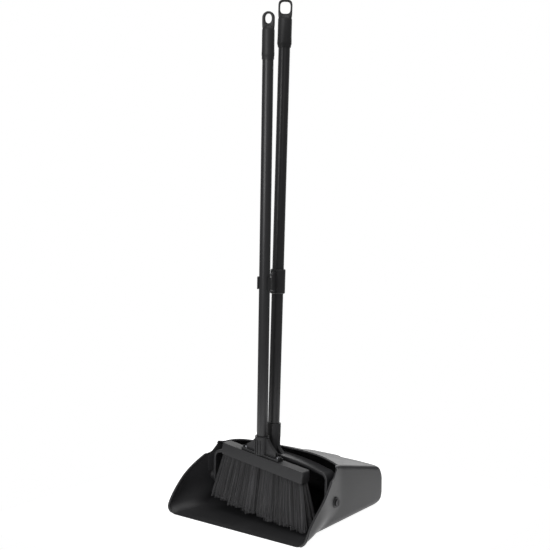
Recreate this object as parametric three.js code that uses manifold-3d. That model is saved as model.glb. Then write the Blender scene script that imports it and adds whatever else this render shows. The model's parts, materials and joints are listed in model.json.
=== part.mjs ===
// Lobby dust pan and broom set: a hooded pan that swings on a yoke and long handle, with a
// broom standing in its mouth and held by a clip on the handle.
// Millimetres, +Z up. The pan's mouth faces -Y. The origin is at the middle of the pan's footprint.
import * as THREE from 'three';
import { mergeVertices } from 'three/addons/utils/BufferGeometryUtils.js';
import Module from 'manifold-3d';

const wasm = await Module();
wasm.setup();

// ---------- driving dimensions ----------
const gap = 0.3;                // clearance left between pieces that touch

// pan shell
const panDepth = 302;           // lip to rear wall, outside
const bodyWidth = 283;          // outside width of the straight rear part
const mouthFlare = 22;          // how far each side wall opens out towards the mouth
const flareLength = 110;        // depth over which the flare grows
const flareStartHigh = 153;     // where the flare begins on the upper wall, behind the lip
const flareStartLow = 67;       // where it begins along the floor
const flareRise = 46;           // height over which the start moves back
const panWall = 2.6;
const panFloor = 2.8;
const floorRadius = 14;         // corner between floor and side walls
const shoulderRadius = 8;       // corner between side walls and top
const rearRadius = 13;          // rounding of the upright rear corners
const rearRound = 26;           // rounding of the rear wall into top and floor
const topFront = 115;           // height of the shoulder above the hood's front edge
const topRear = 74;             // height of the shoulder at the rear wall
const crownFront = 14;          // how much the top is arched at the front
const crownRear = 1;            // and at the rear
const hoodFront = 142;          // hood's front edge, behind the lip
const hoodCheek = 129;          // and the front of its cheeks, outside the yoke
const stepDepth = 103;          // top end of the side walls' front edge, behind the lip
const stepHeight = 96;
const edgeCurve = 0.59;         // power of the front edge's curve from lip to step
const lipThickness = 1;
const lipRamp = 14;             // depth over which the floor thins to the lip
const beadRadius = 2.4;         // rolled edge along the front of the side walls

// hood's skirts, which nest inside the side walls
const skirtWall = 2.2;
const skirtDrop = 56;           // how far the skirts reach down from the seam
const hoodThickness = 2.8;
const ledgeHalfWidth = 44;      // grip ledge across the rear of the hood
const ledgeSlope = 11;          // how far its ends slope out
const ledgeDepth = 24;          // front to back
const ledgeRise = 4.8;          // top above the rear shoulder
const ledgeEnd = 7.5;           // drop of the sloped ends
const seamDrop = 8;             // the seam lies this far below the shoulder, where its rounding starts

// pivots
const pivotDepth = 121;         // behind the lip
const pivotHeight = 50;
const pinRadius = 4;
const pinHeadRadius = 7;
const pinHeadThickness = 2.4;
const pinSlot = 1.8;
const bossRadius = 10.5;
const bossStand = 3.4;          // how far the outer boss stands out of the wall
const runningClearance = 0.45;
const washerThickness = 1;
const washerRadius = 9;
const retainerRadius = 8.2;
const retainerThickness = 2.5;

// yoke
const armThickness = 6;
const armWidth = 30;            // front to back
const armEnd = 15;              // how far the arms reach below the pivot
const yokeHalfWidth = 136;      // outside of the arms
const yokeShoulder = 56;        // arm height above the pivot
const yokeArch = 16;            // extra height of the strap in the middle
const yokeCorner = 16;
const handleLean = 2.65;        // degrees that the handle leans back at rest
const handleOffset = -0.9;      // handle's axis, in front of the pivots
const socketTop = 127;          // above the pivot
const socketWall = 2.4;
const gussetReach = 21;
const gussetHeight = 27;
const gussetThickness = 10;

// pan handle
const handleRadius = 11;
const handleWall = 0.9;
const handleTop = 869;          // end of the tube, above the pivot
const handleSeat = 74;          // bottom of the tube, above the pivot
const insertLength = 46;        // plug that stiffens the tube where the screw bites
const handleScrewHeight = 103;

// grips
const panGrip = { radius: 13.1, flare: 13.5, start: 835.5, bodyEnd: 893, top: 923.5, topLength: 12, square: 2.8,
  holeWidth: 19, holeHeight: 22, holeSquare: 3.2, holeMiddle: 908.2, thickness: 9, turn: 35 };
const broomGrip = { radius: 11.4, flare: 11.7, start: 854.5, bodyEnd: 913, top: 939.5, topLength: 11.4, square: 2,
  holeWidth: 11.5, holeHeight: 17, holeSquare: 2.2, holeMiddle: 926.8, thickness: 8, turn: 37 };

// clip
const clipHeight = 399;         // middle of the sleeve, above the pivot along the handle
const sleeveLength = 46;
const sleeveWall = 3;
const jawLength = 23;
const jawWall = 2.8;
const jawClearance = 0.7;
const jawMouth = 58;            // half angle of the jaws' opening, degrees
const clipWeb = 7;

// broom
const broomDepth = 87.5;        // foot of the tube's axis behind the lip
const broomOffset = -1.6;       // and to the side
const broomLean = 1.17;         // degrees towards +X
const broomYaw = -5;            // turn about its own handle
const headSlant = 4.1;          // degrees that the head sits off square
const bristleStand = 1;         // bristle tips above the pan's floor
const broomRadius = 10.3;
const broomTubeWall = 0.8;
const broomTubeSeat = 128;      // bottom of the tube above the broom's foot
const broomTubeTop = 892;
const blockLength = 206;
const blockShift = 8;           // middle of the block beside the tube
const blockDepth = 24;          // front to back at its foot
const blockTopDepth = 21;
const blockFoot = 97;           // above the broom's foot
const blockHeight = 22;
const capTop = 156;
const capReach = 47;
const capDepth = 15;
const capWall = 3;
const capScrewPlace = 40;       // from the middle
const bristleRows = 3;
const bristleSplay = 0.24;      // sideways slope of the outermost bristles in front
const rearSplay = 0.2;          // and at the back
const bristleDrift = 0.16;      // sideways slope of all bristles
const bristleBow = 5;           // extra length in the middle
const bristleForward = 0.26;    // forward slope of the front bristles
const bristleBack = 0.07;       // backward slope of the rear bristles
const bristleMargin = 3;        // from the block's ends to the outermost bristles
const tuftSplit = 2.4;          // gap that parts the bristle rows in two
const splitPlace = -4;          // middle of that gap, from the block's middle

// ---------- helpers ----------
const degrees = Math.PI / 180;

// A closed geometry becomes a solid once its shared vertices are merged.
function solid(geometry) {
  const bare = geometry.index ? geometry.toNonIndexed() : geometry.clone();
  bare.deleteAttribute('normal');
  bare.deleteAttribute('uv');
  const merged = mergeVertices(bare, 1e-4);
  return new wasm.Manifold(new wasm.Mesh({
    numProp: 3,
    vertProperties: new Float32Array(merged.attributes.position.array),
    triVerts: new Uint32Array(merged.index.array),
  }));
}

// The geometry of a finished solid.
function geometryOf(body) {
  const mesh = body.getMesh();
  const geometry = new THREE.BufferGeometry();
  geometry.setAttribute('position', new THREE.BufferAttribute(new Float32Array(mesh.vertProperties), 3));
  geometry.setIndex(new THREE.BufferAttribute(new Uint32Array(mesh.triVerts), 1));
  const flat = geometry.toNonIndexed();
  flat.computeVertexNormals();
  return flat;
}

// Skin over a list of closed rings that have equal numbers of points, with a fan at each end.
// The rings run anticlockwise seen from the first ring's outer side.
function loft(rings) {
  const count = rings[0].length;
  const points = rings.flat();
  const triangles = [];
  for (let i = 0; i < rings.length - 1; i += 1) {
    for (let j = 0; j < count; j += 1) {
      const a = i * count + j;
      const b = i * count + (j + 1) % count;
      triangles.push(a, a + count, b, b, a + count, b + count);
    }
  }
  for (const [ring, first, turned] of [[rings[0], 0, false], [rings.at(-1), points.length - count, true]]) {
    const middle = ring.reduce((sum, p) => sum.add(p), new THREE.Vector3()).divideScalar(count);
    points.push(middle);
    for (let j = 0; j < count; j += 1) {
      const next = first + (j + 1) % count;
      triangles.push(points.length - 1, ...(turned ? [next, first + j] : [first + j, next]));
    }
  }
  const geometry = new THREE.BufferGeometry();
  const position = new Float32Array(points.flatMap((p) => [p.x, p.y, p.z]));
  geometry.setAttribute('position', new THREE.BufferAttribute(position, 3));
  geometry.setIndex(triangles);
  return geometry;
}

// Prism whose outline lies in the YZ plane, from x0 to x1.
function prismX(outline, x0, x1) {
  const shape = new THREE.Shape(outline.map(([y, z]) => new THREE.Vector2(y, z)));
  const geometry = new THREE.ExtrudeGeometry(shape, { depth: x1 - x0, bevelEnabled: false, curveSegments: 12 });
  const frame = new THREE.Matrix4().makeBasis(
    new THREE.Vector3(0, 1, 0), new THREE.Vector3(0, 0, 1), new THREE.Vector3(1, 0, 0));
  geometry.applyMatrix4(frame);
  geometry.translate(x0, 0, 0);
  return geometry;
}

// Prism whose outline lies in the XZ plane, from y0 to y1.
function prismY(shape, y0, y1, segments = 12) {
  const geometry = new THREE.ExtrudeGeometry(shape, {
    depth: y1 - y0, bevelEnabled: false, curveSegments: segments });
  geometry.rotateX(Math.PI / 2);
  geometry.translate(0, y1, 0);
  return geometry;
}

function shapeOf(points) {
  return new THREE.Shape(points.map(([u, v]) => new THREE.Vector2(u, v)));
}

// Cylinder along X, Y or Z between two places on that axis.
function rod(axis, radius, from, to, segments = 28) {
  const geometry = new THREE.CylinderGeometry(radius, radius, to - from, segments);
  if (axis === 'x') geometry.rotateZ(-Math.PI / 2);
  if (axis === 'z') geometry.rotateX(Math.PI / 2);
  const middle = (from + to) / 2;
  geometry.translate(axis === 'x' ? middle : 0, axis === 'y' ? middle : 0, axis === 'z' ? middle : 0);
  return geometry;
}

// Body of revolution about Z from (radius, height) pairs that start and end on the axis.
function turned(profile, segments = 32) {
  const geometry = new THREE.LatheGeometry(profile.map(([r, z]) => new THREE.Vector2(r, z)), segments);
  geometry.rotateX(Math.PI / 2);
  return geometry;
}

function ring(outer, inner, from, to, segments = 28) {
  return turned([[inner, from], [outer, from], [outer, to], [inner, to], [inner, from]], segments);
}

const plastic = (color, roughness = 0.55) => new THREE.MeshStandardMaterial({ color, roughness, metalness: 0 });
const steel = (color, roughness = 0.35) => new THREE.MeshStandardMaterial({ color, roughness, metalness: 0.9 });
const finishes = {
  panPlastic: plastic(0x2b2c2e, 0.42),
  hoodPlastic: plastic(0x2f3032, 0.38),
  yokePlastic: plastic(0x343538, 0.45),
  gripPlastic: plastic(0x232426, 0.6),
  clipPlastic: plastic(0x303134, 0.5),
  coatedTube: new THREE.MeshStandardMaterial({ color: 0x3a3b3e, roughness: 0.4, metalness: 0.1 }),
  blockPlastic: plastic(0x2a2a2c, 0.6),
  bristle: plastic(0x39393b, 0.85),
  fastener: steel(0x8d9094),
};

function named(name, geometry, finish) {
  const mesh = new THREE.Mesh(geometry, finish);
  mesh.name = name;
  return mesh;
}

// ---------- pan ----------
const smooth = (t) => { const c = Math.min(1, Math.max(0, t)); return c * c * (3 - 2 * c); };
const mix = (a, b, t) => a + (b - a) * t;

// Outer half width of the pan at a depth behind the lip and a height.
function halfWidth(depth, height) {
  const rise = Math.sin(Math.min(1, Math.max(0, height / flareRise)) * Math.PI / 2);
  const start = mix(flareStartLow, flareStartHigh, rise);
  return bodyWidth / 2 + mouthFlare * smooth((start - depth) / flareLength);
}

const shoulderHeight = (depth) => mix(topFront, topRear, (depth - hoodFront) / (panDepth - hoodFront));
const crownHeight = (depth) => {
  const back = Math.min(1, Math.max(0, (depth - hoodFront) / (panDepth - hoodFront)));
  return mix(crownFront, crownRear, back);
};

// How far a quarter round of some radius has turned in at a depth.
const turnedIn = (depth, radius) => {
  const past = Math.min(radius, Math.max(0, depth - (panDepth - radius)));
  return radius - Math.sqrt(radius ** 2 - past ** 2);
};

// Outline of the pan across its width at one depth, taken in by side, foot and top.
function panRing(depth, side, foot, top) {
  const taken = turnedIn(depth, rearRadius);
  const low = foot + turnedIn(depth, rearRound);
  const high = shoulderHeight(depth) - top - turnedIn(depth, rearRound);
  const footRadius = Math.max(1, floorRadius - side - taken);
  const topRadius = Math.max(1, shoulderRadius - side - taken);
  const width = (height) => halfWidth(depth, height) - side - taken;
  const half = [[0, low]];
  const cornerSteps = 6;
  for (let i = 0; i <= cornerSteps; i += 1) {
    const a = -Math.PI / 2 + (Math.PI / 2) * i / cornerSteps;
    const z = low + footRadius * (1 + Math.sin(a));
    half.push([width(z) - footRadius * (1 - Math.cos(a)), z]);
  }
  const wallSteps = 6;
  for (let i = 1; i < wallSteps; i += 1) {
    const z = mix(low + footRadius, high - topRadius, i / wallSteps);
    half.push([width(z), z]);
  }
  for (let i = 0; i <= cornerSteps; i += 1) {
    const a = (Math.PI / 2) * i / cornerSteps;
    const z = high - topRadius * (1 - Math.sin(a));
    half.push([width(z) - topRadius * (1 - Math.cos(a)), z]);
  }
  const [flat] = half.at(-1);
  const crownSteps = 5;
  for (let i = 1; i <= crownSteps; i += 1) {
    const x = flat * (1 - i / crownSteps);
    half.push([x, high + crownHeight(depth) * (1 - (x / flat) ** 4)]);
  }
  const right = half.map(([x, z]) => new THREE.Vector3(x, depth, z));
  const left = half.slice(1, -1).reverse().map(([x, z]) => new THREE.Vector3(-x, depth, z));
  return [...right, ...left];
}

// Solid of the pan's outer form, taken in by side, foot, top and rear.
function panForm(side, foot, top, rear, front) {
  const depths = [front];
  const bends = 14;
  const straightEnd = panDepth - rearRound;
  for (let i = 1; i <= bends; i += 1) depths.push(mix(0, flareStartHigh + 6, i / bends));
  depths.push(mix(flareStartHigh, straightEnd, 0.5), straightEnd);
  const rounds = 8;
  for (let i = 1; i <= rounds; i += 1) {
    depths.push(straightEnd + rearRound * Math.sin((Math.PI / 2) * i / rounds * 0.97));
  }
  const rings = depths.map((depth) => panRing(depth, side, foot, top)
    .map((p) => new THREE.Vector3(p.x, Math.min(p.y, panDepth - rear), p.z)));
  const unique = rings.filter((r, i) => i === 0 || r[0].y > rings[i - 1][0].y + 1e-3);
  return solid(loft(unique));
}

const sideReach = bodyWidth / 2 + mouthFlare + 20;
const seam = (depth) => shoulderHeight(depth) - seamDrop;

// Side outline of the body: lip, curved front edge up to the step, then up to the hood's seam.
function edgePoints() {
  const steps = 12;
  const first = (floorRadius * 1.1 / stepHeight) ** (1 / edgeCurve);
  return Array.from({ length: steps + 1 }, (_, i) => {
    const t = mix(first, 1, (i / steps) ** 1.3);
    return [stepDepth * t, stepHeight * t ** edgeCurve];
  });
}

function bodyOutline() {
  const points = [[panDepth + 5, -1], [-1, -1], [-1, lipThickness + 2], ...edgePoints()];
  points.push([stepDepth + 13, stepHeight + 2]);
  points.push([hoodCheek, seam(hoodCheek)]);
  points.push([panDepth + 5, seam(panDepth + 5)]);
  return points;
}

function hoodTopOutline() {
  const raise = 60;
  return [[hoodCheek, seam(hoodCheek) + gap], [panDepth + 5, seam(panDepth + 5) + gap],
    [panDepth + 5, topFront + raise], [hoodCheek, topFront + raise]];
}

function skirtOutline() {
  const front = stepDepth + 2;
  const back = panDepth - rearRound - 10;
  return [[front, seam(front) - skirtDrop], [back, seam(back) - skirtDrop / 2], [back, seam(back) + 1.5],
    [hoodCheek + 1.5, seam(hoodCheek) + 1.5], [front + 12, stepHeight], [front, stepHeight - 4]];
}

const insideForm = panForm(panWall, panFloor, panWall, panWall, -6);
const outsideForm = panForm(0, 0, 0, 0, 0);
const wallAtPivot = halfWidth(pivotDepth, pivotHeight);
const bossFace = wallAtPivot + bossStand;
const armFace = yokeHalfWidth + gap;
const washerFace = armFace + washerThickness;
const innerBossFace = washerFace + gap;

function atPivot(geometry) {
  geometry.translate(0, pivotDepth, pivotHeight);
  return solid(geometry);
}

// Rolled edge that follows the front of one side wall.
function makeBead(side) {
  const path = edgePoints().map(([depth, height]) => new THREE.Vector3(
    side * (halfWidth(depth, height) - panWall / 2), depth, height));
  const sides = 8;
  const rings = path.map((place, i) => {
    const ahead = path[Math.min(i + 1, path.length - 1)];
    const behind = path[Math.max(i - 1, 0)];
    const along = ahead.clone().sub(behind).normalize();
    const across = new THREE.Vector3(1, 0, 0);
    across.addScaledVector(along, -across.dot(along)).normalize();
    const up = across.clone().cross(along);
    return Array.from({ length: sides }, (_, j) => {
      const a = 2 * Math.PI * j / sides;
      return place.clone().addScaledVector(across, beadRadius * Math.cos(a)).addScaledVector(up, beadRadius * Math.sin(a));
    });
  });
  return solid(loft(rings));
}

function makePanBody() {
  let body = outsideForm.subtract(insideForm).intersect(solid(prismX(bodyOutline(), -sideReach, sideReach)));
  const wedge = prismX([[-2, lipThickness], [lipRamp, panFloor + 0.01], [lipRamp, panFloor + 3],
    [-2, panFloor + 3]], -sideReach, sideReach);
  const middle = halfWidth(0, 0) - floorRadius;
  const bound = prismX([[-3, 0.2], [lipRamp + 1, 0.2], [lipRamp + 1, panFloor + 2], [-3, panFloor + 2]], -middle, middle);
  body = body.subtract(solid(wedge).intersect(solid(bound)));
  for (const side of [-1, 1]) {
    body = body.add(makeBead(side));
    const outer = side > 0 ? [innerBossFace, bossFace] : [-bossFace, -innerBossFace];
    body = body.add(atPivot(rod('x', bossRadius, ...outer)));
  }
  return body.subtract(atPivot(rod('x', pinRadius + runningClearance, -sideReach, sideReach)));
}

// Grip ledge that carries on the hood's top over the rear rounding: side outline trimmed by front outline.
function makeLedge(inset) {
  const start = panDepth - ledgeDepth;
  const rear = panDepth - inset;
  const top = topRear + ledgeRise - inset;
  const foot = (depth) => seam(depth) + gap + inset;
  const side = prismX([[start, foot(start)], [rear, foot(rear)], [rear, top - 3], [rear - 3, top], [start, top]],
    -sideReach, sideReach);
  const wide = ledgeHalfWidth + ledgeSlope - inset;
  const narrow = ledgeHalfWidth - ledgeSlope - inset;
  const low = seam(panDepth) - 5;
  const front = shapeOf([[-wide, low], [wide, low], [wide, top - ledgeEnd], [narrow, top], [-narrow, top],
    [-wide, top - ledgeEnd]]);
  return solid(side).intersect(solid(prismY(front, start - 5, panDepth + 5)));
}

function makeHood() {
  const inner = panForm(panWall + gap + skirtWall, panFloor + 3, hoodThickness, panWall + 3, -6);
  const plate = outsideForm.intersect(solid(prismX(hoodTopOutline(), -sideReach, sideReach)));
  const nested = panForm(panWall + gap, panFloor + 3, 0.8, panWall + gap, -6);
  const notch = new THREE.BoxGeometry(2 * (yokeHalfWidth + 1.6), 2 * hoodFront, 2 * skirtWall + seamDrop + 200);
  notch.translate(0, 0, seam(hoodFront) - seamDrop + 100);
  const skirt = nested.intersect(solid(prismX(skirtOutline(), -sideReach, sideReach)));
  const shell = plate.subtract(solid(notch)).add(makeLedge(0)).add(skirt).subtract(inner);
  const whole = shell.subtract(makeLedge(hoodThickness));
  return whole.subtract(atPivot(rod('x', bossRadius + gap, -sideReach, sideReach)));
}

function makePivot(side) {
  const name = side > 0 ? 'right' : 'left';
  const face = bossFace + gap;
  const inside = yokeHalfWidth - armThickness - gap;
  const span = (a, b) => (side > 0 ? [a, b] : [-b, -a]);
  const head = solid(rod('x', pinHeadRadius, ...span(face, face + pinHeadThickness)));
  const shank = solid(rod('x', pinRadius, ...span(inside - retainerThickness - 2, face + 0.5)));
  const slot = solid(new THREE.BoxGeometry(2, pinSlot, 2 * pinHeadRadius - 3)
    .translate(side * (face + pinHeadThickness), 0, 0));
  const pin = head.add(shank).subtract(slot);
  const washer = solid(rod('x', washerRadius, ...span(armFace, washerFace)))
    .subtract(solid(rod('x', pinRadius + gap, -sideReach, sideReach)));
  const retainer = solid(rod('x', retainerRadius, ...span(inside - retainerThickness, inside)))
    .subtract(solid(rod('x', pinRadius + gap, -sideReach, sideReach)));
  const group = new THREE.Group();
  group.position.set(0, pivotDepth, pivotHeight);
  group.add(
    named(`pivot_pin_${name}`, geometryOf(pin), finishes.gripPlastic),
    named(`pivot_washer_${name}`, geometryOf(washer), finishes.gripPlastic),
    named(`pivot_retainer_${name}`, geometryOf(retainer), finishes.fastener));
  return group;
}

// ---------- yoke, handle and clip, in a frame whose origin is on the pivots ----------
function yokeOutline(inset) {
  const half = yokeHalfWidth - inset;
  const top = (x) => yokeShoulder + yokeArch * (1 - (x / (yokeHalfWidth - yokeCorner)) ** 2) - inset;
  const radius = yokeCorner - inset;
  const flat = half - radius;
  const points = [[half, -armEnd - 2]];
  const steps = 8;
  for (let i = 0; i <= steps; i += 1) {
    const a = (Math.PI / 2) * i / steps;
    points.push([flat + radius * Math.cos(a), top(flat) - radius * (1 - Math.sin(a))]);
  }
  const arch = 8;
  for (let i = 1; i <= arch; i += 1) points.push([flat * (1 - i / arch), top(flat * (1 - i / arch))]);
  return points;
}

function mirrored(points) {
  return [...points, ...points.slice(0, -1).reverse().map(([x, z]) => [-x, z])];
}

function makeYoke() {
  const outer = mirrored(yokeOutline(0));
  const inner = mirrored(yokeOutline(armThickness)).reverse();
  let body = solid(prismY(shapeOf([...outer, ...inner]), -armWidth / 2, armWidth / 2));
  // rounded arm ends
  const end = [];
  for (let i = 0; i <= 12; i += 1) {
    const a = Math.PI + Math.PI * i / 12;
    end.push([armWidth / 2 * Math.cos(a), (armEnd) * Math.sin(a)]);
  }
  const side = [...end, [armWidth / 2, socketTop], [-armWidth / 2, socketTop]];
  body = body.intersect(solid(prismX(side, -yokeHalfWidth - 1, yokeHalfWidth + 1)));
  // socket and its flared gussets
  const outerRadius = handleRadius + gap + socketWall;
  const foot = yokeShoulder + yokeArch - armThickness + 1;
  const socket = solid(rod('z', outerRadius, foot, socketTop, 36).translate(0, handleOffset, 0));
  const flare = new THREE.Shape();
  const rise = foot + gussetHeight;
  flare.moveTo(-outerRadius - gussetReach, foot);
  flare.lineTo(outerRadius + gussetReach, foot);
  flare.quadraticCurveTo(outerRadius - 0.5, foot + 6, outerRadius - 0.5, rise);
  flare.lineTo(-outerRadius + 0.5, rise);
  flare.quadraticCurveTo(-outerRadius + 0.5, foot + 6, -outerRadius - gussetReach, foot);
  const gusset = solid(prismY(flare, handleOffset - gussetThickness / 2, handleOffset + gussetThickness / 2, 8));
  body = body.add(socket).add(gusset);
  const bore = solid(rod('z', handleRadius + gap, handleSeat - gap, socketTop + 5, 36).translate(0, handleOffset, 0));
  const pinHole = solid(rod('x', pinRadius + runningClearance, -sideReach, sideReach));
  const screwHole = solid(rod('y', 2.3, handleOffset, handleOffset + outerRadius + 6, 16)
    .translate(0, 0, handleScrewHeight));
  return body.subtract(bore).subtract(pinHole).subtract(screwHole);
}

function makeTube(radius, wall, from, to) {
  return ring(radius, radius - wall, from, to, 40);
}

// Panhead screw along +Y from its tip to its seat.
function screw(tip, seat, radius = 1.9, head = 3.8, headHeight = 2.2) {
  const body = solid(rod('y', radius, tip, seat + 0.4, 14)).add(solid(rod('y', head, seat, seat + headHeight, 20)));
  const cross = solid(new THREE.BoxGeometry(3.6, 1.4, 0.9).translate(0, seat + headHeight, 0))
    .add(solid(new THREE.BoxGeometry(0.9, 1.4, 3.6).translate(0, seat + headHeight, 0)));
  return body.subtract(cross);
}

// Points of a superellipse between two angles: 2 is an ellipse, more is squarer.
function roundedOutline(a, b, power, from, to) {
  const steps = Math.round(10 * (to - from) / Math.PI) * 2;
  return Array.from({ length: steps + 1 }, (_, i) => {
    const t = from + (to - from) * i / steps;
    const c = Math.cos(t);
    const d = Math.sin(t);
    return [a * Math.sign(c) * Math.abs(c) ** (2 / power), b * Math.sign(d) * Math.abs(d) ** (2 / power)];
  });
}

// Moulded grip: socket for the tube's end, rounded body, flat hang loop.
function makeGrip(grip, tubeRadius, tubeTop) {
  const shell = turned([[0, grip.start], [tubeRadius + gap + 0.7, grip.start], [grip.flare, grip.start + 6],
    [grip.flare, grip.start + 11], [grip.radius, grip.start + 22], [grip.radius, grip.bodyEnd - 6],
    [grip.radius - 1.5, grip.bodyEnd - 1.5], [grip.radius - 4, grip.bodyEnd + 1], [0, grip.bodyEnd + 1]], 36);
  const half = grip.radius;
  const low = grip.bodyEnd - 12;
  const arch = roundedOutline(half, grip.topLength, grip.square, 0, Math.PI)
    .map(([x, z]) => [x, z + grip.top - grip.topLength]);
  const loop = solid(prismY(shapeOf([[-half + 2, low], [half - 2, low], [half, grip.bodyEnd], ...arch,
    [-half, grip.bodyEnd]]), -grip.thickness / 2, grip.thickness / 2));
  const opening = roundedOutline(grip.holeWidth / 2, grip.holeHeight / 2, grip.holeSquare, 0, 2 * Math.PI)
    .slice(0, -1).map(([x, z]) => [x, z + grip.holeMiddle]);
  const eye = solid(prismY(shapeOf(opening), -grip.radius - 4, grip.radius + 4));
  const bore = solid(rod('z', tubeRadius + gap, grip.start - 3, tubeTop + gap, 36));
  const body = solid(shell).add(loop).subtract(eye).subtract(bore);
  const geometry = geometryOf(body);
  geometry.rotateZ(grip.turn * degrees);
  return geometry;
}

const broomFoot = panFloor + bristleStand;
const broomBase = new THREE.Vector3(broomOffset, broomDepth, broomFoot);
const broomTilt = new THREE.Matrix4().makeRotationY(broomLean * degrees).setPosition(broomBase);
const handleFrame = new THREE.Matrix4().makeRotationX(-handleLean * degrees)
  .setPosition(new THREE.Vector3(0, pivotDepth, pivotHeight));

// Where the broom's axis passes the clip, seen in the handle's own frame.
function broomInHandle() {
  const toHandle = handleFrame.clone().invert().multiply(broomTilt);
  const direction = new THREE.Vector3(0, 0, 1).transformDirection(toHandle);
  const start = new THREE.Vector3().applyMatrix4(toHandle);
  const along = (clipHeight - start.z) / direction.z;
  return { point: start.clone().addScaledVector(direction, along), direction };
}

function makeClip() {
  const { point, direction } = broomInHandle();
  const sleeveRadius = handleRadius + gap + sleeveWall;
  const jawInner = broomRadius + jawClearance;
  const jawOuter = jawInner + jawWall;
  const low = clipHeight - sleeveLength / 2;
  const sleeve = solid(turned([[0, low], [sleeveRadius - 1, low], [sleeveRadius, low + 1.5],
    [sleeveRadius, low + sleeveLength - 1.5], [sleeveRadius - 1, low + sleeveLength], [0, low + sleeveLength]], 36)
    .translate(0, handleOffset, 0));
  // jaws stand square to the broom's tube
  const turn = new THREE.Matrix4().makeRotationFromQuaternion(
    new THREE.Quaternion().setFromUnitVectors(new THREE.Vector3(0, 0, 1), direction)).setPosition(point);
  const away = Math.atan2(point.y - handleOffset, point.x);
  const arc = new THREE.Shape();
  const openFrom = away + jawMouth * degrees;
  const openTo = away + 2 * Math.PI - jawMouth * degrees;
  arc.absarc(0, 0, jawOuter, openFrom, openTo, false);
  arc.absarc(0, 0, jawInner, openTo, openFrom, true);
  const jaws = new THREE.ExtrudeGeometry(arc, { depth: jawLength, bevelEnabled: false, curveSegments: 36 });
  jaws.translate(0, 0, -jawLength / 2);
  jaws.applyMatrix4(turn);
  // a web with a slanted brace joins them
  const length = Math.hypot(point.x, point.y - handleOffset);
  const outline = [[sleeveRadius - 2.5, -sleeveLength / 2 + 3], [length - jawOuter + 1.5, -jawLength / 2 + 1],
    [length - jawOuter + 1.5, jawLength / 2 - 1], [sleeveRadius - 2.5, sleeveLength / 2 - 3]];
  const web = prismX(outline, -clipWeb / 2, clipWeb / 2);
  web.rotateZ(away - Math.PI / 2);
  web.translate(0, handleOffset, clipHeight);
  const fullTube = solid(rod('z', handleRadius + gap, low - 5, low + sleeveLength + 5, 36).translate(0, handleOffset, 0));
  const hole = rod('y', 2.2, handleOffset, handleOffset + sleeveRadius + 4, 14);
  hole.translate(0, 0, clipHeight + sleeveLength / 4);
  return sleeve.add(solid(jaws)).add(solid(web)).subtract(fullTube).subtract(solid(hole));
}

function makeHandleGroup() {
  const group = new THREE.Group();
  group.applyMatrix4(handleFrame);
  group.add(named('yoke', geometryOf(makeYoke()), finishes.yokePlastic));

  const tube = solid(makeTube(handleRadius, handleWall, handleSeat, handleTop).translate(0, handleOffset, 0));
  const insertRadius = handleRadius - handleWall - gap;
  const insertFrom = handleSeat + 1;
  const plug = solid(rod('z', insertRadius, insertFrom, insertFrom + insertLength, 28).translate(0, handleOffset, 0));
  const screwSeat = handleOffset + handleRadius + gap + socketWall + gap;
  const pilot = (height) => solid(rod('y', 2.3, handleOffset - 1, screwSeat + 3, 14).translate(0, 0, height));
  const clipScrewHeight = clipHeight + sleeveLength / 4;
  group.add(
    named('handle_tube', geometryOf(tube.subtract(pilot(handleScrewHeight)).subtract(pilot(clipScrewHeight))),
      finishes.coatedTube),
    named('handle_insert', geometryOf(plug.subtract(pilot(handleScrewHeight))), finishes.blockPlastic),
    named('yoke_screw', geometryOf(screw(handleOffset + 2, screwSeat)).translate(0, 0, handleScrewHeight),
      finishes.fastener),
    named('clip', geometryOf(makeClip()), finishes.clipPlastic),
    named('clip_screw', geometryOf(screw(handleOffset + 5, handleOffset + handleRadius + gap + sleeveWall + gap))
      .translate(0, 0, clipScrewHeight), finishes.fastener),
    named('handle_grip', makeGrip(panGrip, handleRadius, handleTop).translate(0, handleOffset, 0),
      finishes.gripPlastic));
  return group;
}

// ---------- broom, in a frame whose origin is at its foot, below the handle ----------
function makeBlock() {
  const half = blockLength / 2;
  const top = blockFoot + blockHeight;
  const mid = blockFoot + blockHeight * 0.45;
  const rounded = 3.5;
  const profile = (x) => {
    const inset = Math.max(0, Math.abs(x) - (half - rounded));
    const taken = rounded - Math.sqrt(rounded ** 2 - inset ** 2);
    const foot = blockDepth / 2 - taken;
    const ridge = Math.max(1.5, blockTopDepth / 2 - taken);
    return [[-foot, blockFoot], [foot, blockFoot], [foot, mid], [ridge, top - taken * 0.7],
      [-ridge, top - taken * 0.7], [-foot, mid]].map(([y, z]) => new THREE.Vector3(x, y, z));
  };
  const places = [];
  const rounds = 5;
  for (let i = 0; i <= rounds; i += 1) places.push(half - rounded + rounded * Math.sin((Math.PI / 2) * i / rounds * 0.96));
  const all = [...places.map((x) => -x).reverse(), ...places];
  return solid(loft(all.map((x) => profile(x).reverse())).translate(blockShift, 0, 0));
}

const capRadius = broomRadius + gap + capWall;
const blockTop = blockFoot + blockHeight;
const tipRadius = broomRadius - broomTubeWall - gap;

// The head sits askew about the middle of the block's top.
const headTurn = new THREE.Matrix4().makeTranslation(0, 0, blockTop)
  .multiply(new THREE.Matrix4().makeRotationY(headSlant * degrees))
  .multiply(new THREE.Matrix4().makeTranslation(0, 0, -blockTop));

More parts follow.
